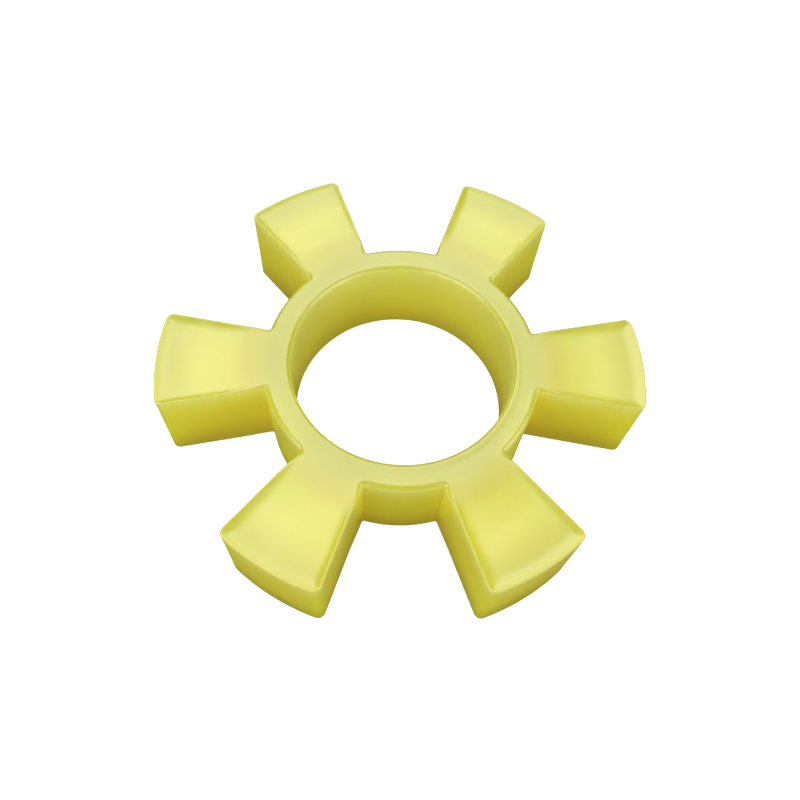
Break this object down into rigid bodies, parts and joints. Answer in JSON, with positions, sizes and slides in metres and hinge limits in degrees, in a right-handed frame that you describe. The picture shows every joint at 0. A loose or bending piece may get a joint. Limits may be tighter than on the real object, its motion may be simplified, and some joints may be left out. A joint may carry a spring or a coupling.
{
  "type": "jaw coupling spider",
  "caption": "Flexible jaw coupling insert: a flat yellow elastomer ring with tapered legs that flare towards their tips, and a plain round bore.",
  "frame": {"origin": "on the bore's axis, midway between the two flat faces", "axes": "+Z along the bore's axis towards the open-cast face with the rounded bore mouth, +X along the centre line of one leg"},
  "size_m": [0.105, 0.0994, 0.022],
  "materials": {
    "elastomer": "satin"
  },
  "bodies": {
    "root": {"spider": "elastomer"}
  },
  "joints": []
}
